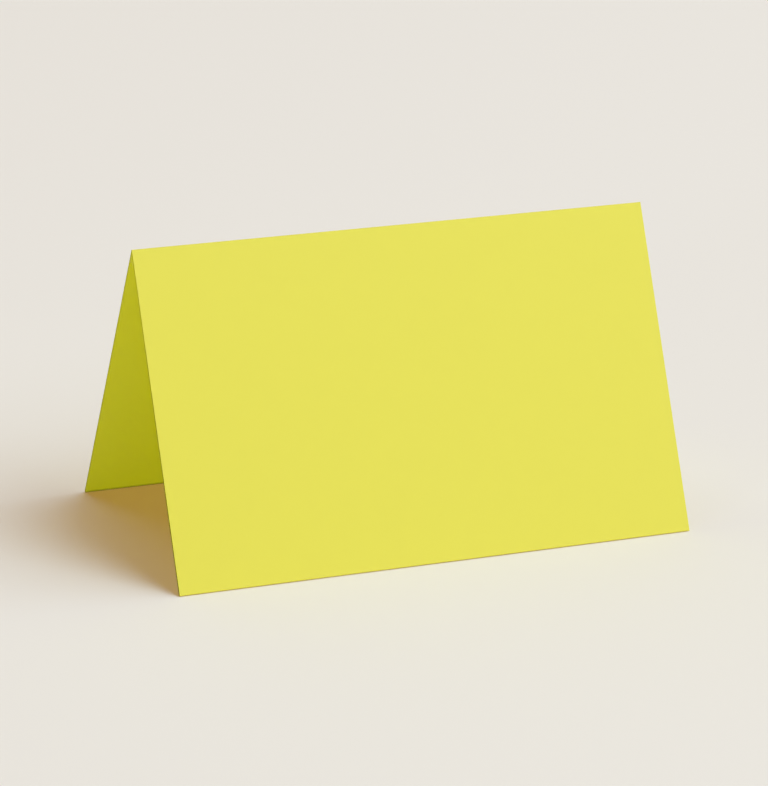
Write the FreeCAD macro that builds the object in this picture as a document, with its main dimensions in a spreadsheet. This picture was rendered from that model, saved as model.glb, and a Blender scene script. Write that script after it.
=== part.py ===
# Tent-fold place card: one sheet of heavy card, creased once across the middle and
# stood up as an inverted V.
#
# Units are millimetres. +X runs along the fold, +Z is up, and the panel that carries
# the guest's name faces -Y. The origin is on the table, under the fold, midway
# between the two standing edges.
#
# The sheet keeps one thickness from the crease to the cut edges. Its lower ends are
# cut square to the sheet, so the card stands on the inner corner of each cut end,
# and the outer corner is a fraction of a millimetre above the table. At the crease
# the outer face turns through a small radius, and the two inner faces close to a
# narrow crevice whose bottom is rounded by the bead that the creasing rule raised.

import FreeCAD, Part
import math
import os

import Sketcher

NODE = "folded_card"

# alias in the spreadsheet, value, meaning
DRIVING_DIMENSIONS = (
    ("card_width", 89.0, "along the fold, mm"),
    ("panel_length", 55.0, "half the flat sheet, cut edge to crease line, mm"),
    ("card_thickness", 0.4, "heavy smooth card, mm"),
    ("opening_angle", 52.0, "between the two panels, degrees"),
    ("outer_fold_radius", 0.15, "outside of the crease, mm"),
    ("inner_fold_radius", 0.05, "bottom of the crevice under the crease, mm"),
)

FRONT = -1
BACK = 1

# how the sketcher numbers a line's ends and the sketch's own axes
START = 1
END = 2
HORIZONTAL_AXIS = -1
VERTICAL_AXIS = -2


def make_dimension_sheet(document):
    """The spreadsheet that drives every size, one named row for each dimension."""
    sheet = document.addObject("Spreadsheet::Sheet", "Dimensions")
    for row, (alias, value, meaning) in enumerate(DRIVING_DIMENSIONS, start=1):
        sheet.set(f"A{row}", alias)
        sheet.set(f"B{row}", str(value))
        sheet.set(f"C{row}", meaning)
        sheet.setAlias(f"B{row}", alias)
    document.recompute()
    return sheet


def origin_plane(body, role):
    """One of the body's own three base planes, found by its role."""
    return next(f for f in body.Origin.OriginFeatures if f.Role == role)


class CardSection:
    """The card seen from its end: a thin inverted V with a tight crease.

    The sketch lies on the plane across the fold, so its x is the part's Y and its y
    is the part's Z. Each panel hangs from a construction line, the middle of the
    sheet's thickness, which runs from the crease point down to the cut end.
    """

    def __init__(self, body, sheet):
        self.sheet = sheet
        self.sketch = body.newObject("Sketcher::SketchObject", "CardSection")
        self.sketch.AttachmentSupport = [(origin_plane(body, "YZ_Plane"), "")]
        self.sketch.MapMode = "FlatFace"

    def layout_point(self, side, down, out):
        """A point so far down a panel's middle line and so far outwards from it."""
        half_angle = math.radians(self.sheet.opening_angle) / 2
        crease_height = self.sheet.panel_length * math.cos(half_angle)
        y = side * (down * math.sin(half_angle) + out * math.cos(half_angle))
        z = crease_height - down * math.cos(half_angle) + out * math.sin(half_angle)
        return FreeCAD.Vector(y, z, 0)

    def line(self, start, end, construction=False):
        return self.sketch.addGeometry(Part.LineSegment(start, end), construction)

    def tie(self, *constraint):
        return self.sketch.addConstraint(Sketcher.Constraint(*constraint))

    def dimension(self, name, expression, *constraint):
        """A constraint with a name, bound to the spreadsheet."""
        self.sketch.renameConstraint(self.tie(*constraint), name)
        self.sketch.setExpression(f"Constraints.{name}", expression)

    def draw_panel(self, side):
        """One panel: its middle line, outer face, square cut end and inner face."""
        length = self.sheet.panel_length
        skin = self.sheet.card_thickness / 2
        below_crease = self.sheet.card_thickness
        crease_point = self.layout_point(side, 0, 0)
        outer_top = self.layout_point(side, below_crease, skin)
        outer_bottom = self.layout_point(side, length, skin)
        inner_bottom = self.layout_point(side, length, -skin)
        inner_top = self.layout_point(side, 2 * below_crease, -skin)

        middle = self.line(crease_point, self.layout_point(side, length, 0), True)
        outer = self.line(outer_top, outer_bottom)
        cut_end = self.line(outer_bottom, inner_bottom)
        inner = self.line(inner_bottom, inner_top)
        self.tie("Coincident", outer, END, cut_end, START)
        self.tie("Coincident", cut_end, END, inner, START)
        self.tie("Symmetric", cut_end, START, cut_end, END, middle, END)
        self.tie("Perpendicular", cut_end, middle)
        self.tie("Parallel", outer, middle)
        self.tie("Parallel", inner, middle)
        return middle, outer, cut_end, inner

    def draw_crease(self, front_face, back_face, face_end, radius):
        """The arc that turns one panel's face into the other's, tangent to both."""
        front_point = self.sketch.getPoint(front_face, face_end)
        back_point = self.sketch.getPoint(back_face, face_end)
        crown = (front_point + back_point) / 2 + FreeCAD.Vector(0, radius, 0)
        arc = self.sketch.addGeometry(Part.Arc(back_point, crown, front_point))
        self.tie("Tangent", back_face, face_end, arc, START)
        self.tie("Tangent", arc, END, front_face, face_end)
        return arc

    def draw(self):
        sheet = self.sheet
        front, front_outer, front_cut, front_inner = self.draw_panel(FRONT)
        back, back_outer, back_cut, back_inner = self.draw_panel(BACK)
        outer_arc = self.draw_crease(
            front_outer, back_outer, START, sheet.outer_fold_radius
        )
        inner_arc = self.draw_crease(
            front_inner, back_inner, END, sheet.inner_fold_radius
        )

        # the panels meet at the crease, mirror each other and stand on the table
        self.tie("Coincident", front, START, back, START)
        self.tie("PointOnObject", front, START, VERTICAL_AXIS)
        self.tie("Symmetric", front, END, back, END, VERTICAL_AXIS)
        self.tie("PointOnObject", front_cut, END, HORIZONTAL_AXIS)

        for name, cut_end in (("Front", front_cut), ("Back", back_cut)):
            self.dimension(
                f"{name}Thickness",
                "Dimensions.card_thickness",
                "Distance",
                cut_end,
                sheet.card_thickness,
            )
        self.dimension(
            "PanelLength",
            "Dimensions.panel_length",
            "Distance",
            front,
            sheet.panel_length,
        )
        self.dimension(
            "OpeningAngle",
            "Dimensions.opening_angle * 1 deg",
            "Angle",
            front,
            START,
            back,
            START,
            math.radians(sheet.opening_angle),
        )
        self.dimension(
            "OuterFoldRadius",
            "Dimensions.outer_fold_radius",
            "Radius",
            outer_arc,
            sheet.outer_fold_radius,
        )
        self.dimension(
            "InnerFoldRadius",
            "Dimensions.inner_fold_radius",
            "Radius",
            inner_arc,
            sheet.inner_fold_radius,
        )
        return self.sketch


def make_folded_card(document, sheet):
    """The whole card: its end section drawn out equally to both sides of the middle."""
    body = document.addObject("PartDesign::Body", "FoldedCard")
    body.Label = NODE
    section = CardSection(body, sheet).draw()
    card = body.newObject("PartDesign::Pad", "CardWidth")
    card.Profile = section
    card.SideType = "Symmetric"
    card.setExpression("Length", "Dimensions.card_width")
    section.Visibility = False
    return body


def check_objects(document):
    """Stops on any object that failed to build, which a recompute doesn't report."""
    for thing in document.Objects:
        if "Invalid" in thing.State or "Error" in thing.State:
            raise RuntimeError(f"{thing.Name} failed: {thing.State}")


def write_node(body):
    """Writes a body to the file that its label names, once its shape is sound."""
    shape = body.Shape
    if shape.isNull() or not shape.isValid():
        raise RuntimeError(f"{body.Label} has no valid shape")
    os.makedirs("parts", exist_ok=True)
    shape.exportStep(os.path.join("parts", f"{body.Label}.step"))
    box = shape.BoundBox
    print(
        f"{body.Label}: {box.XLength:.3f} x {box.YLength:.3f} x {box.ZLength:.3f} mm,"
        f" {shape.Volume:.1f} mm3, {len(shape.Faces)} faces"
    )


doc = FreeCAD.newDocument("PlaceCard")
dimensions = make_dimension_sheet(doc)
folded_card = make_folded_card(doc, dimensions)
doc.recompute()
check_objects(doc)
write_node(folded_card)
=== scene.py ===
"""Tent-fold place card: one sheet of heavy yellow card, creased once across the middle.

Units are metres. +X runs along the fold, +Z is up, and the panel that carries the
guest's name faces -Y. The card stands on the inner corners of its two cut ends.
"""

import math

import bmesh
import bpy
from mathutils import Matrix, Vector


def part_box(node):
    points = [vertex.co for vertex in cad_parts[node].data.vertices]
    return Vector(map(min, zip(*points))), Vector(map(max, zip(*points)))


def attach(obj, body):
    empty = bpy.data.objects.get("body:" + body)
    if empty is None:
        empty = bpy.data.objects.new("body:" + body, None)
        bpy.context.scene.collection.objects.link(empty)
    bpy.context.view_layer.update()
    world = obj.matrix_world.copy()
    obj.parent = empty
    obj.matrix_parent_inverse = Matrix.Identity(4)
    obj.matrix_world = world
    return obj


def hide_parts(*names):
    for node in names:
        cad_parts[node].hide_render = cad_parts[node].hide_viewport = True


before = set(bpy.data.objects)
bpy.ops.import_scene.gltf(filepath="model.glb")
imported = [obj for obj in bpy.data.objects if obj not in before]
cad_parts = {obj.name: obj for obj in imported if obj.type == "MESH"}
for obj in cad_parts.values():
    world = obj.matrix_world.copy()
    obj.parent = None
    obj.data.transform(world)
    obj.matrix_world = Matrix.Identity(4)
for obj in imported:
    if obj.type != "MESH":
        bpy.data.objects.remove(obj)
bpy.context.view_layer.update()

bl_info = {
    "name": "Folded Place Card",
    "version": (1, 0, 0),
    "blender": (4, 5, 0),
    "location": "View3D > Sidebar > Place Card",
    "description": "Folds a place card from one sheet and stands it on a lit table",
    "category": "Object",
}

CARD_NODE = "folded_card"
MILLIMETRE = 0.001

THICKNESS = 0.4 * MILLIMETRE
OUTER_FOLD_RADIUS = 0.15 * MILLIMETRE
INNER_FOLD_RADIUS = 0.05 * MILLIMETRE
ANGLE_ROUNDS = 20


def fold_in_box(low, high):
    """Width, panel length and opening angle of the card that just fills a box.

    The panel length is half the flat sheet: from the crease down the middle of the
    sheet's thickness to the cut end. The angle and the rounding of the crest depend on
    each other, so a few rounds settle them.
    """
    half_depth = (high.y - low.y) / 2
    height = high.z - low.z
    half_angle = math.atan2(half_depth, height)
    for _ in range(ANGLE_ROUNDS):
        rounding = OUTER_FOLD_RADIUS * (1 / math.sin(half_angle) - 1)
        drop = height + rounding - THICKNESS * math.sin(half_angle)
        half_angle = math.atan2(half_depth, drop)
    outer_length = half_depth / math.sin(half_angle)
    panel_length = outer_length - THICKNESS / 2 / math.tan(half_angle)
    return high.x - low.x, panel_length, 2 * half_angle


WIDTH, PANEL_LENGTH, OPENING_ANGLE = fold_in_box(*map(Vector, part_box(CARD_NODE)))


# ---------------------------------------------------------------- node trees


class Value:
    """A node's output that can be written in arithmetic: each operator adds a node."""

    def __init__(self, graph, socket):
        self.graph = graph
        self.socket = socket

    def math(self, operation, *operands):
        sockets = dict(enumerate(operands))
        return self.graph.add("ShaderNodeMath", {"operation": operation}, sockets)[0]

    def __add__(self, other):
        return self.math("ADD", self, other)

    __radd__ = __add__

    def __sub__(self, other):
        return self.math("SUBTRACT", self, other)

    def __rsub__(self, other):
        return self.math("SUBTRACT", other, self)

    def __mul__(self, other):
        return self.math("MULTIPLY", self, other)

    __rmul__ = __mul__

    def __truediv__(self, other):
        return self.math("DIVIDE", self, other)

    def __neg__(self):
        return self.math("MULTIPLY", self, -1)

    def __gt__(self, other):
        return self.math("GREATER_THAN", self, other)

    def sine(self):
        return self.math("SINE", self)

    def cosine(self):
        return self.math("COSINE", self)

    def magnitude(self):
        return self.math("ABSOLUTE", self)

    def at_most(self, other):
        return self.math("MINIMUM", self, other)

    def either(self, other):
        return self.math("MAXIMUM", self, other)


class Outputs:
    """A new node's outputs, by name, identifier or number."""

    def __init__(self, graph, node):
        self.graph = graph
        self.node = node

    def __getitem__(self, key):
        return Value(self.graph, find_socket(self.node.outputs, key))


def find_socket(sockets, key):
    """The socket with that number, identifier or name."""
    if isinstance(key, int):
        return sockets[key]
    for socket in sockets:
        if socket.identifier == key:
            return socket
    return sockets[key]


class Graph:
    """A node tree that is filled from left to right, one expression at a time."""

    COLUMN = 220
    ROW = 260

    def __init__(self, tree):
        self.tree = tree
        tree.nodes.clear()

    def add(self, kind, settings=None, sockets=None):
        """A node: its type, its settings, then the values or links of its sockets."""
        node = self.tree.nodes.new(kind)
        for name, value in (settings or {}).items():
            # an index switch starts with two items, and gets one for each choice
            if name == "choices":
                while len(node.index_switch_items) < value:
                    node.index_switch_items.new()
            else:
                setattr(node, name, value)
        column = 0
        for key, value in (sockets or {}).items():
            socket = find_socket(node.inputs, key)
            if isinstance(value, Value):
                self.tree.links.new(value.socket, socket)
                column = max(column, value.socket.node.location.x + self.COLUMN)
            else:
                socket.default_value = value
        row = sum(other.location.x == column for other in self.tree.nodes)
        node.location = (column, -row * self.ROW)
        return Outputs(self, node)

    def vector_math(self, operation, *operands, **named):
        sockets = dict(enumerate(operands)) | named
        return self.add("ShaderNodeVectorMath", {"operation": operation}, sockets)[0]


# ------------------------------------------------------------------ the card


class CardSizes(bpy.types.PropertyGroup):
    """The flat sheet and its fold."""

    width: bpy.props.FloatProperty(
        name="Width",
        description="Length of the fold",
        default=WIDTH,
        min=0.01,
        precision=4,
        unit="LENGTH",
    )
    panel_length: bpy.props.FloatProperty(
        name="Panel Length",
        description="Half the flat sheet, from the crease to the cut end",
        default=PANEL_LENGTH,
        min=0.01,
        precision=4,
        unit="LENGTH",
    )
    thickness: bpy.props.FloatProperty(
        name="Thickness",
        description="Thickness of the card",
        default=THICKNESS,
        min=0.0001,
        precision=5,
        unit="LENGTH",
    )
    opening_angle: bpy.props.FloatProperty(
        name="Opening Angle",
        description="Angle between the two panels",
        default=OPENING_ANGLE,
        min=math.radians(10),
        max=math.radians(90),
        unit="ROTATION",
    )
    outer_fold_radius: bpy.props.FloatProperty(
        name="Outer Fold Radius",
        description="Radius of the crease on the outside of the card",
        default=OUTER_FOLD_RADIUS,
        precision=5,
        unit="LENGTH",
    )
    inner_fold_radius: bpy.props.FloatProperty(
        name="Inner Fold Radius",
        description="Radius at the bottom of the crevice under the crease",
        default=INNER_FOLD_RADIUS,
        precision=5,
        unit="LENGTH",
    )
    crease_steps: bpy.props.IntProperty(
        name="Crease Steps",
        description="Flat facets that each round of the crease is made of",
        default=16,
        min=2,
        max=64,
    )
    edge_softness: bpy.props.FloatProperty(
        name="Edge Softness",
        description="How far the guillotined edges are rounded",
        default=0.015 * MILLIMETRE,
        precision=5,
        unit="LENGTH",
    )


class CardFinish(bpy.types.PropertyGroup):
    """The look of the dyed card."""

    colour: bpy.props.FloatVectorProperty(
        name="Colour",
        description="Dye of the card, through its whole thickness",
        default=(0.70, 0.663, 0.028),
        min=0.0,
        max=1.0,
        subtype="COLOR",
    )
    roughness: bpy.props.FloatProperty(
        name="Roughness",
        description="Roughness of the smooth, uncoated face",
        default=0.6,
        subtype="FACTOR",
    )
    cloudiness: bpy.props.FloatProperty(
        name="Cloudiness",
        description="How much the pulp's clouds change the shade",
        default=0.01,
        subtype="FACTOR",
    )
    cloud_size: bpy.props.FloatProperty(
        name="Cloud Size",
        description="Size of the clouds in the pulp",
        default=3.0 * MILLIMETRE,
        precision=5,
        unit="LENGTH",
    )
    fibre_size: bpy.props.FloatProperty(
        name="Fibre Size",
        description="Size of the fine tooth that the fibres leave in the face",
        default=0.2 * MILLIMETRE,
        precision=5,
        unit="LENGTH",
    )
    tooth_depth: bpy.props.FloatProperty(
        name="Tooth Depth",
        description="Height of the fine tooth",
        default=0.004 * MILLIMETRE,
        precision=6,
        unit="LENGTH",
    )
    gloss: bpy.props.FloatProperty(
        name="Gloss",
        description="Strength of the sheen that pressing left on the faces",
        default=0.8,
        subtype="FACTOR",
    )
    # Painted shade: the front panel's left cut edge is drawn darker, most at its foot.
    painted_edge_shade: bpy.props.FloatProperty(
        name="Painted Edge Shade",
        description="How much darker the front panel's left cut edge is at its foot",
        default=0.65,
        subtype="FACTOR",
    )
    painted_edge_shade_height: bpy.props.FloatProperty(
        name="Painted Edge Shade Height",
        description="Height at which that darker edge has faded out",
        default=50.0 * MILLIMETRE,
        precision=4,
        unit="LENGTH",
    )
    # Painted shade: the crest of the fold is drawn darker.
    painted_crest_shade: bpy.props.FloatProperty(
        name="Painted Crest Shade",
        description="How much darker the stretched fibres on the fold are",
        default=0.1,
        subtype="FACTOR",
    )
    # Painted contact shadow along the inside where the card meets the table.
    painted_foot_shadow: bpy.props.FloatProperty(
        name="Painted Foot Shadow",
        description="How much darker the inside is right where it meets the table",
        default=0.75,
        subtype="FACTOR",
    )
    painted_foot_shadow_height: bpy.props.FloatProperty(
        name="Painted Foot Shadow Height",
        description="Height at which that dark line has faded out",
        default=0.45 * MILLIMETRE,
        precision=5,
        unit="LENGTH",
    )
    cut_roughness: bpy.props.FloatProperty(
        name="Cut Roughness",
        description="How much rougher a cut edge is than the faces",
        default=0.25,
        subtype="FACTOR",
    )
    glow_depth: bpy.props.FloatProperty(
        name="Glow Depth",
        description="Reach of the glow on the inner faces, fitted and not measured",
        default=4.2 * MILLIMETRE,
        precision=5,
        unit="LENGTH",
    )
    glow_colour: bpy.props.FloatVectorProperty(
        name="Glow Colour",
        description="Share of that reach that each colour of light has",
        default=(0.93, 1.0, 0.2),
        min=0.0,
        max=1.0,
        subtype="COLOR",
    )


FOLD_INPUTS = (
    ("Width", "NodeSocketFloat"),
    ("Panel Length", "NodeSocketFloat"),
    ("Thickness", "NodeSocketFloat"),
    ("Opening Angle", "NodeSocketFloat"),
    ("Outer Fold Radius", "NodeSocketFloat"),
    ("Inner Fold Radius", "NodeSocketFloat"),
    ("Crease Steps", "NodeSocketInt"),
    ("Card", "NodeSocketMaterial"),
)
WELD_DISTANCE = 0.001 * MILLIMETRE
CUT_EDGE = "cut_edge"
INNER_FACE = "inner_face"
CREST = "crest"
LEFT_END = "left_end"
FACES_SIDEWAYS = 0.5
FACES_DOWN = 0.7
LEANS_DOWN = 0.2
FACES_UP = 0.5
TOOTH_SHINE = 0.1
NOISE_MIDDLE = 0.5
NOISE_ROUGHNESS = 0.6
CLOUD_DETAIL = 3.0
TOOTH_DETAIL = 4.0
SHARP_ANGLE = math.radians(40)
SOFT_EDGE_STEPS = 2


def section_corners(graph, sheet):
    """The card's end section as six corners, before the crease is rounded.

    They run from the crest down the front panel, up the crevice and down the back
    panel. The section lies in the XY plane, with the table along X and up along Y.
    """
    half_angle = sheet["Opening Angle"] / 2
    sine = half_angle.sine()
    cosine = half_angle.cosine()
    skin = sheet["Thickness"] / 2
    crease_height = sheet["Panel Length"] * cosine + skin * sine
    reach = sheet["Panel Length"] * sine
    outer_foot = reach + skin * cosine
    inner_foot = reach - skin * cosine
    lift = sheet["Thickness"] * sine
    places = (
        (0.0, crease_height + skin / sine),
        (-outer_foot, lift),
        (-inner_foot, 0.0),
        (0.0, crease_height - skin / sine),
        (inner_foot, 0.0),
        (outer_foot, lift),
    )
    return [
        graph.add("ShaderNodeCombineXYZ", None, {"X": x, "Y": y})[0] for x, y in places
    ]


def fold_tree():
    """The tree that folds the card: its end section, drawn out along the fold."""
    tree = bpy.data.node_groups.new("Folded Card", "GeometryNodeTree")
    tree.is_modifier = True
    for name, kind in FOLD_INPUTS:
        tree.interface.new_socket(name, in_out="INPUT", socket_type=kind)
    tree.interface.new_socket(
        "Geometry", in_out="OUTPUT", socket_type="NodeSocketGeometry"
    )
    graph = Graph(tree)
    sheet = graph.add("NodeGroupInput")
    corner = graph.add("GeometryNodeInputIndex")["Index"]

    def each_corner(data_type, values):
        """One value for each corner of the section, in the corners' order."""
        return graph.add(
            "GeometryNodeIndexSwitch",
            {"data_type": data_type, "choices": len(values)},
            {"Index": corner} | dict(enumerate(values, start=1)),
        )["Output"]

    corners = section_corners(graph, sheet)
    outline = graph.add(
        "GeometryNodeCurvePrimitiveCircle",
        None,
        {"Resolution": len(corners), "Radius": sheet["Width"]},
    )["Curve"]
    outline = graph.add(
        "GeometryNodeSetPosition",
        None,
        {"Geometry": outline, "Position": each_corner("VECTOR", corners)},
    )["Geometry"]
    crest = sheet["Outer Fold Radius"]
    crevice = sheet["Inner Fold Radius"]
    radii = (crest, 0.0, 0.0, crevice, 0.0, 0.0)
    outline = graph.add(
        "GeometryNodeFilletCurve",
        {"mode": "POLY"},
        {
            "Curve": outline,
            "Count": sheet["Crease Steps"],
            "Radius": each_corner("FLOAT", radii),
        },
    )["Curve"]

    half_width = sheet["Width"] / 2
    left_end = graph.add("ShaderNodeCombineXYZ", None, {"Z": -half_width})[0]
    right_end = graph.add("ShaderNodeCombineXYZ", None, {"Z": half_width})[0]
    fold_line = graph.add(
        "GeometryNodeCurvePrimitiveLine", None, {"Start": left_end, "End": right_end}
    )["Curve"]
    card = graph.add(
        "GeometryNodeCurveToMesh",
        None,
        {"Curve": fold_line, "Profile Curve": outline, "Fill Caps": True},
    )["Mesh"]
    card = graph.add(
        "GeometryNodeMergeByDistance",
        None,
        {"Geometry": card, "Distance": WELD_DISTANCE},
    )["Geometry"]
    quarter = math.pi / 2
    card = graph.add(
        "GeometryNodeTransform",
        None,
        {"Geometry": card, "Rotation": (quarter, 0.0, quarter)},
    )["Geometry"]
    card = graph.add(
        "GeometryNodeSetShadeSmooth", None, {"Geometry": card, "Shade Smooth": False}
    )["Geometry"]
    facing = graph.add("GeometryNodeInputNormal")["Normal"]
    facing = graph.add("ShaderNodeSeparateXYZ", None, {"Vector": facing})
    sideways = facing["X"].magnitude() > FACES_SIDEWAYS
    downwards = -facing["Z"] > FACES_DOWN
    leaning = -facing["Z"] > LEANS_DOWN
    marks = (
        (CUT_EDGE, sideways.either(downwards)),
        (INNER_FACE, leaning - downwards),
        (CREST, facing["Z"] > FACES_UP),
        (LEFT_END, -facing["X"] > FACES_SIDEWAYS),
    )
    for name, value in marks:
        card = graph.add(
            "GeometryNodeStoreNamedAttribute",
            {"data_type": "FLOAT", "domain": "FACE"},
            {"Geometry": card, "Name": name, "Value": value},
        )["Geometry"]
    card = graph.add(
        "GeometryNodeRealizeInstances", None, {"Geometry": card}
    )["Geometry"]
    card = graph.add(
        "GeometryNodeSetMaterial", None, {"Geometry": card, "Material": sheet["Card"]}
    )["Geometry"]
    graph.add("NodeGroupOutput", None, {"Geometry": card})
    return tree


def card_material(finish):
    """Smooth uncoated card, dyed through: faint clouds in the pulp and a fine tooth.

    Pressing left a sheen on the faces. The inner faces glow, which stands in for the
    light that comes through the card and passes between its panels. The torn fibres of
    a cut edge are rough and have no sheen. Three places carry painted shade: the front
    panel's left cut edge, darker towards its foot, a painted contact shadow on the inside
    right above the table, and the crest of the fold.
    """
    material = bpy.data.materials.new("Dyed Card")
    material.use_nodes = True
    graph = Graph(material.node_tree)
    place = graph.add("ShaderNodeTexCoord")["Object"]

    def noise(size, detail):
        return graph.add(
            "ShaderNodeTexNoise",
            None,
            {
                "Vector": place,
                "Scale": 1 / size,
                "Detail": detail,
                "Roughness": NOISE_ROUGHNESS,
            },
        )[0]

    clouds = noise(finish.cloud_size, CLOUD_DETAIL)
    tooth = noise(finish.fibre_size, TOOTH_DETAIL)
    cut_edge, inner_face, crest, left_end = (
        graph.add("ShaderNodeAttribute", {"attribute_name": name})["Fac"]
        for name in (CUT_EDGE, INNER_FACE, CREST, LEFT_END)
    )
    axes = graph.add("ShaderNodeSeparateXYZ", None, {"Vector": place})
    # Painted contact shadow: the inside is drawn darker right above the table
    foot = inner_face * (1 - axes["Z"] / finish.painted_foot_shadow_height).either(0.0)
    # Painted shade on the front panel's left cut edge, which faces away from the lamps,
    # strongest at its foot
    painted_edge_shade_mask = left_end * (-axes["Y"] > 0.0)
    painted_edge_shade_mask = painted_edge_shade_mask * (1 - axes["Z"] / finish.painted_edge_shade_height).either(0.0)
    # The pulp's clouds and tooth vary the tone at random; the factors after them are
    # painted shade
    shade = 1 + (clouds + tooth - 2 * NOISE_MIDDLE) * finish.cloudiness
    shade = shade * (1 - painted_edge_shade_mask * finish.painted_edge_shade) * (1 - foot * finish.painted_foot_shadow)
    # Painted shade along the crest of the fold
    shade = shade * (1 - crest * finish.painted_crest_shade)
    colour = graph.vector_math("SCALE", tuple(finish.colour), Scale=shade)
    roughness = finish.roughness + (tooth - NOISE_MIDDLE) * TOOTH_SHINE
    roughness = roughness + cut_edge * finish.cut_roughness
    bump = graph.add(
        "ShaderNodeBump",
        None,
        {"Height": tooth, "Distance": finish.tooth_depth, "Strength": 1.0},
    )["Normal"]
    surface = {
        "Base Color": colour,
        "Roughness": roughness,
        "Normal": bump,
        "Specular IOR Level": finish.gloss,
    }
    no_sheen = {"Specular IOR Level": 0.0}
    glow = {
        "Subsurface Weight": 1.0,
        "Subsurface Scale": finish.glow_depth,
        "Subsurface Radius": tuple(finish.glow_colour),
    }
    pressed = graph.add("ShaderNodeBsdfPrincipled", None, surface)["BSDF"]
    glowing = graph.add("ShaderNodeBsdfPrincipled", None, surface | glow)["BSDF"]
    torn = graph.add("ShaderNodeBsdfPrincipled", None, surface | no_sheen)["BSDF"]
    unpressed = graph.add(
        "ShaderNodeMixShader", None, {0: cut_edge, 1: glowing, 2: torn}
    )[0]
    either = inner_face.either(cut_edge)
    shader = graph.add(
        "ShaderNodeMixShader", None, {0: either, 1: pressed, 2: unpressed}
    )[0]
    graph.add("ShaderNodeOutputMaterial", None, {"Surface": shader})
    return material


def folded_mesh(sizes, material):
    """The folded card as a plain mesh, from the tree and a softening of its cut edges."""
    maker = bpy.data.objects.new("card_maker", bpy.data.meshes.new("card_maker"))
    bpy.context.collection.objects.link(maker)
    fold = maker.modifiers.new("Folded Card", "NODES")
    fold.node_group = fold_tree()
    values = {
        "Width": sizes.width,
        "Panel Length": sizes.panel_length,
        "Thickness": sizes.thickness,
        "Opening Angle": sizes.opening_angle,
        "Outer Fold Radius": sizes.outer_fold_radius,
        "Inner Fold Radius": sizes.inner_fold_radius,
        "Crease Steps": sizes.crease_steps,
        "Card": material,
    }
    for socket in fold.node_group.interface.items_tree:
        if socket.in_out == "INPUT":
            fold[socket.identifier] = values[socket.name]
    soften = maker.modifiers.new("Softened Edges", "BEVEL")
    soften.limit_method = "ANGLE"
    soften.angle_limit = SHARP_ANGLE
    soften.width = sizes.edge_softness
    soften.segments = SOFT_EDGE_STEPS
    soften.use_clamp_overlap = False

    depsgraph = bpy.context.evaluated_depsgraph_get()
    mesh = bpy.data.meshes.new_from_object(maker.evaluated_get(depsgraph))
    bpy.data.objects.remove(maker)
    return mesh


def check_closed(mesh):
    """Stop unless the mesh is one closed skin that faces outwards."""
    skin = bmesh.new()
    skin.from_mesh(mesh)
    closed = all(edge.is_manifold for edge in skin.edges)
    volume = skin.calc_volume(signed=True)
    skin.free()
    if not closed or volume <= 0:
        raise RuntimeError("The folded card is open or inside out")


class PLACECARD_OT_fold(bpy.types.Operator):
    """Fold the card from one sheet and stand it on its cut edges"""

    bl_idname = "place_card.fold"
    bl_label = "Fold the Card"
    bl_options = {"REGISTER", "UNDO"}

    def execute(self, context):
        scene = context.scene
        mesh = folded_mesh(scene.card_sizes, card_material(scene.card_finish))
        check_closed(mesh)
        mesh.name = "place_card"
        card = bpy.data.objects.new("place_card", mesh)
        context.collection.objects.link(card)
        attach(card, "root")
        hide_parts(CARD_NODE)
        return {"FINISHED"}


# ----------------------------------------------------------------- the stage


SOFTBOXES = ("key", "side", "back", "low")


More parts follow.
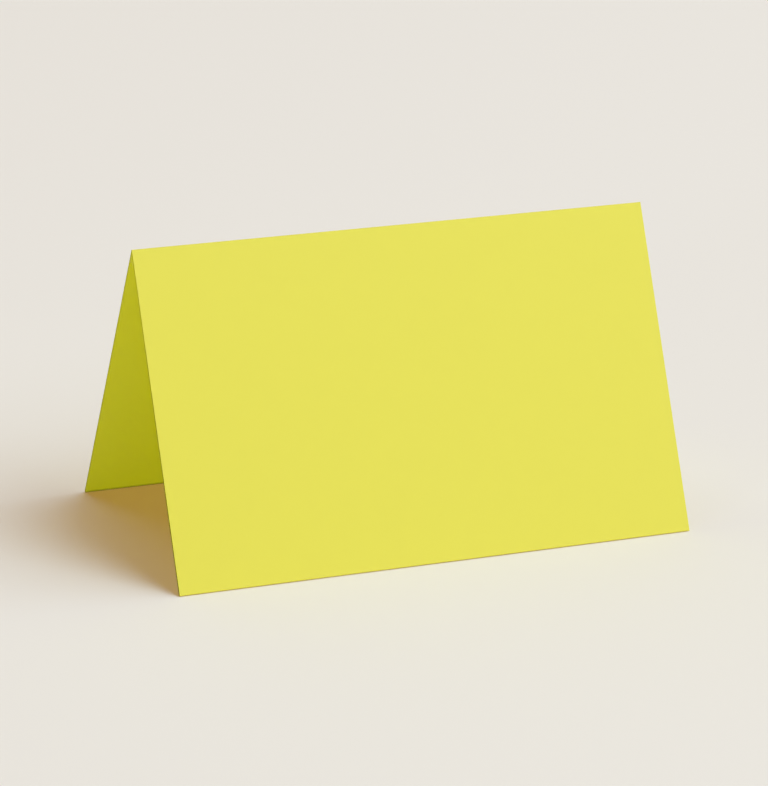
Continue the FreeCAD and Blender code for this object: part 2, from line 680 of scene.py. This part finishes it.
class Studio(bpy.types.PropertyGroup):
    """The table, the lamps and the camera."""

    table_colour: bpy.props.FloatVectorProperty(
        name="Table Colour",
        description="Colour of the table and of the wall behind it",
        default=(0.812, 0.779, 0.724),
        min=0.0,
        max=1.0,
        subtype="COLOR",
    )
    table_size: bpy.props.FloatProperty(
        name="Table Size", description="Side of the table", default=6.0, unit="LENGTH"
    )
    # Painted light: the table, as the camera sees it, glows with this share of its colour,
    # so its shadows never go darker.
    shadow_warmth: bpy.props.FloatVectorProperty(
        name="Shadow Warmth",
        description="Share of the table's own colour that no shadow takes away",
        default=(0.37, 0.19, 0.016),
        min=0.0,
        max=1.0,
        subtype="COLOR",
    )
    lamp_distance: bpy.props.FloatProperty(
        name="Lamp Distance",
        description="From the card to the middle of each softbox",
        default=4.0,
        unit="LENGTH",
    )
    key_share: bpy.props.FloatProperty(
        name="Key Share",
        description="Part of the open table's light that comes from the key softbox",
        default=0.338,
        subtype="FACTOR",
    )
    key_azimuth: bpy.props.FloatProperty(
        name="Key Azimuth",
        description="How far to the right of the front the key softbox hangs",
        default=math.radians(35),
        unit="ROTATION",
    )
    key_elevation: bpy.props.FloatProperty(
        name="Key Elevation",
        description="Height of the key softbox above the table, as an angle",
        default=math.radians(43),
        unit="ROTATION",
    )
    key_spread: bpy.props.FloatProperty(
        name="Key Spread",
        description="Angle from the middle of the key softbox to its rim, from the card",
        default=math.radians(20),
        unit="ROTATION",
    )
    side_share: bpy.props.FloatProperty(
        name="Side Share",
        description="Part of the open table's light that comes from the side softbox",
        default=0.41,
        subtype="FACTOR",
    )
    side_azimuth: bpy.props.FloatProperty(
        name="Side Azimuth",
        description="How far to the right of the front the side softbox hangs",
        default=math.radians(77),
        unit="ROTATION",
    )
    side_elevation: bpy.props.FloatProperty(
        name="Side Elevation",
        description="Height of the side softbox above the table, as an angle",
        default=math.radians(52),
        unit="ROTATION",
    )
    side_spread: bpy.props.FloatProperty(
        name="Side Spread",
        description="Angle from the middle of the side softbox to its rim, from the card",
        default=math.radians(30),
        unit="ROTATION",
    )
    back_share: bpy.props.FloatProperty(
        name="Back Share",
        description="Part of the open table's light that comes from the back softbox",
        default=0.18,
        subtype="FACTOR",
    )
    back_azimuth: bpy.props.FloatProperty(
        name="Back Azimuth",
        description="How far to the right of the front the back softbox hangs",
        default=math.radians(180),
        unit="ROTATION",
    )
    back_elevation: bpy.props.FloatProperty(
        name="Back Elevation",
        description="Height of the back softbox above the table, as an angle",
        default=math.radians(55),
        unit="ROTATION",
    )
    back_spread: bpy.props.FloatProperty(
        name="Back Spread",
        description="Angle from the middle of the back softbox to its rim, from the card",
        default=math.radians(30),
        unit="ROTATION",
    )
    low_share: bpy.props.FloatProperty(
        name="Low Share",
        description="Part of the open table's light that comes from the low reflector",
        default=0.014,
        subtype="FACTOR",
    )
    low_azimuth: bpy.props.FloatProperty(
        name="Low Azimuth",
        description="How far right of the front the low reflector hangs, or left below 0",
        default=math.radians(-55),
        unit="ROTATION",
    )
    low_elevation: bpy.props.FloatProperty(
        name="Low Elevation",
        description="Height of the low reflector above the table, as an angle",
        default=math.radians(6),
        unit="ROTATION",
    )
    low_spread: bpy.props.FloatProperty(
        name="Low Spread",
        description="Angle from the middle of the low reflector to its rim, from the card",
        default=math.radians(5),
        unit="ROTATION",
    )
    aim_height: bpy.props.FloatProperty(
        name="Aim Height",
        description="Height of the point on the card's middle that the camera faces",
        default=21.0 * MILLIMETRE,
        precision=4,
        unit="LENGTH",
    )
    aim_side: bpy.props.FloatProperty(
        name="Aim Side",
        description="How far right of the card's middle the camera faces",
        default=-0.7 * MILLIMETRE,
        precision=4,
        unit="LENGTH",
    )
    camera_azimuth: bpy.props.FloatProperty(
        name="Camera Azimuth",
        description="How far to the left of the front the camera stands",
        default=math.radians(22.52),
        unit="ROTATION",
    )
    camera_elevation: bpy.props.FloatProperty(
        name="Camera Elevation",
        description="Height of the camera above the table, as an angle",
        default=math.radians(19.46),
        unit="ROTATION",
    )
    camera_roll: bpy.props.FloatProperty(
        name="Camera Roll",
        description="Turn of the camera about the way it looks",
        default=math.radians(1.53),
        unit="ROTATION",
    )
    camera_distance: bpy.props.FloatProperty(
        name="Camera Distance",
        description="From the camera to the point it faces",
        default=0.635,
        unit="LENGTH",
    )
    focal_length: bpy.props.FloatProperty(
        name="Focal Length",
        description="Focal length on a 36 mm sensor",
        default=176.7,
        unit="CAMERA",
    )


def seen_share(graph):
    """1 for what the camera sees, directly, in a reflection or through glass."""
    path = graph.add("ShaderNodeLightPath")
    seen = path["Is Camera Ray"] + path["Is Glossy Ray"]
    seen = seen + path["Is Transmission Ray"]
    return seen.at_most(1.0)


def table_material(studio):
    """A plain matt table top. What the camera sees of it also glows with part of its own
    colour, painted light that keeps its shadows a little warm.
    """
    material = bpy.data.materials.new("Matt Table")
    material.use_nodes = True
    graph = Graph(material.node_tree)
    colour = Vector(studio.table_colour)
    warmth = Vector(studio.shadow_warmth)
    # painted light: the share of the table's colour that glows, and the share left to the
    # lamps
    glow = tuple(c * w for c, w in zip(colour, warmth)) + (1.0,)
    lit = tuple(c * (1 - w) for c, w in zip(colour, warmth)) + (1.0,)
    plain = graph.add(
        "ShaderNodeBsdfDiffuse", None, {"Color": tuple(colour) + (1.0,)}
    )["BSDF"]
    lit_part = graph.add("ShaderNodeBsdfDiffuse", None, {"Color": lit})["BSDF"]
    warm_part = graph.add(
        "ShaderNodeEmission", None, {"Color": glow, "Strength": 1.0}
    )["Emission"]
    seen = graph.add("ShaderNodeAddShader", None, {0: lit_part, 1: warm_part})[0]
    surface = graph.add(
        "ShaderNodeMixShader", None, {0: seen_share(graph), 1: plain, 2: seen}
    )[0]
    graph.add("ShaderNodeOutputMaterial", None, {"Surface": surface})
    return material


def lay_table(studio):
    """The table top, with its upper face at the height the card stands on."""
    reach = studio.table_size / 2
    signs = ((-1, -1), (1, -1), (1, 1), (-1, 1))
    corners = [(reach * x, reach * y, 0) for x, y in signs]
    mesh = bpy.data.meshes.new("table_top")
    mesh.from_pydata(corners, [], [(0, 1, 2, 3)])
    mesh.materials.append(table_material(studio))
    table = bpy.data.objects.new("table_top", mesh)
    bpy.context.collection.objects.link(table)


def light_room(studio):
    """A white room that gives the rest of the light, and looks as pale as the table."""
    softbox_shares = [getattr(studio, f"{name}_share") for name in SOFTBOXES]
    world = bpy.data.worlds.new("Studio")
    world.use_nodes = True
    graph = Graph(world.node_tree)
    white = (1.0, 1.0, 1.0, 1.0)
    table_colour = tuple(studio.table_colour) + (1.0,)
    room = graph.add(
        "ShaderNodeBackground",
        None,
        {"Color": white, "Strength": 1 - sum(softbox_shares)},
    )["Background"]
    wall = graph.add(
        "ShaderNodeBackground", None, {"Color": table_colour, "Strength": 1.0}
    )["Background"]
    surface = graph.add(
        "ShaderNodeMixShader", None, {0: seen_share(graph), 1: room, 2: wall}
    )[0]
    graph.add("ShaderNodeOutputWorld", None, {"Surface": surface})
    bpy.context.scene.world = world


def hang_softbox(name, studio):
    """A round softbox that gives the open table its share of the light.

    The shares of all the lights add up to 1, the level at which colours look true.
    """
    share = getattr(studio, f"{name}_share")
    azimuth = getattr(studio, f"{name}_azimuth")
    elevation = getattr(studio, f"{name}_elevation")
    distance = studio.lamp_distance
    radius = distance * math.tan(getattr(studio, f"{name}_spread"))
    lamp = bpy.data.lights.new(f"{name}_softbox", "AREA")
    lamp.shape = "DISK"
    lamp.size = 2 * radius
    lamp.energy = share * math.pi**2 * (distance**2 + radius**2) / math.sin(elevation)
    softbox = bpy.data.objects.new(f"{name}_softbox", lamp)
    turn = Matrix.Rotation(azimuth, 4, "Z")
    tilt = Matrix.Rotation(math.pi / 2 - elevation, 4, "X")
    away = Matrix.Translation((0, 0, distance))
    softbox.matrix_world = turn @ tilt @ away
    softbox.visible_camera = False
    bpy.context.collection.objects.link(softbox)


def set_camera(studio):
    """The camera, which looks down at the card from the front and a little left."""
    lens = bpy.data.cameras.new("camera")
    lens.lens = studio.focal_length
    camera = bpy.data.objects.new("camera", lens)
    aim = Matrix.Translation((studio.aim_side, 0, studio.aim_height))
    turn = Matrix.Rotation(-studio.camera_azimuth, 4, "Z")
    tilt = Matrix.Rotation(math.pi / 2 - studio.camera_elevation, 4, "X")
    roll = Matrix.Rotation(studio.camera_roll, 4, "Z")
    back = Matrix.Translation((0, 0, studio.camera_distance))
    camera.matrix_world = aim @ turn @ tilt @ roll @ back
    bpy.context.collection.objects.link(camera)
    bpy.context.scene.camera = camera


class PLACECARD_OT_set_stage(bpy.types.Operator):
    """Lay the table and set up the softboxes, the room light and the camera"""

    bl_idname = "place_card.set_stage"
    bl_label = "Set the Stage"
    bl_options = {"REGISTER", "UNDO"}

    def execute(self, context):
        studio = context.scene.card_studio
        lay_table(studio)
        light_room(studio)
        for name in SOFTBOXES:
            hang_softbox(name, studio)
        set_camera(studio)
        context.scene.view_settings.view_transform = "Standard"
        return {"FINISHED"}


# -------------------------------------------------------------------- add-on


class PLACECARD_PT_panel(bpy.types.Panel):
    """The place card's sizes, finish and stage"""

    bl_idname = "PLACECARD_PT_panel"
    bl_label = "Place Card"
    bl_space_type = "VIEW_3D"
    bl_region_type = "UI"
    bl_category = "Place Card"

    def draw(self, context):
        scene = context.scene
        steps = (
            (PLACECARD_OT_fold, (scene.card_sizes, scene.card_finish)),
            (PLACECARD_OT_set_stage, (scene.card_studio,)),
        )
        for operator, groups in steps:
            box = self.layout.box()
            box.operator(operator.bl_idname)
            for group in groups:
                for name in group.__annotations__:
                    box.prop(group, name)


PROPERTY_GROUPS = {
    "card_sizes": CardSizes,
    "card_finish": CardFinish,
    "card_studio": Studio,
}
OPERATORS = (PLACECARD_OT_fold, PLACECARD_OT_set_stage)


def register():
    for cls in (*PROPERTY_GROUPS.values(), *OPERATORS, PLACECARD_PT_panel):
        bpy.utils.register_class(cls)
    for name, group in PROPERTY_GROUPS.items():
        setattr(bpy.types.Scene, name, bpy.props.PointerProperty(type=group))


def unregister():
    for name in PROPERTY_GROUPS:
        delattr(bpy.types.Scene, name)
    for cls in (PLACECARD_PT_panel, *OPERATORS, *PROPERTY_GROUPS.values()):
        bpy.utils.unregister_class(cls)


def main():
    register()
    bpy.ops.place_card.fold()
    bpy.ops.place_card.set_stage()


if __name__ == "__main__":
    main()
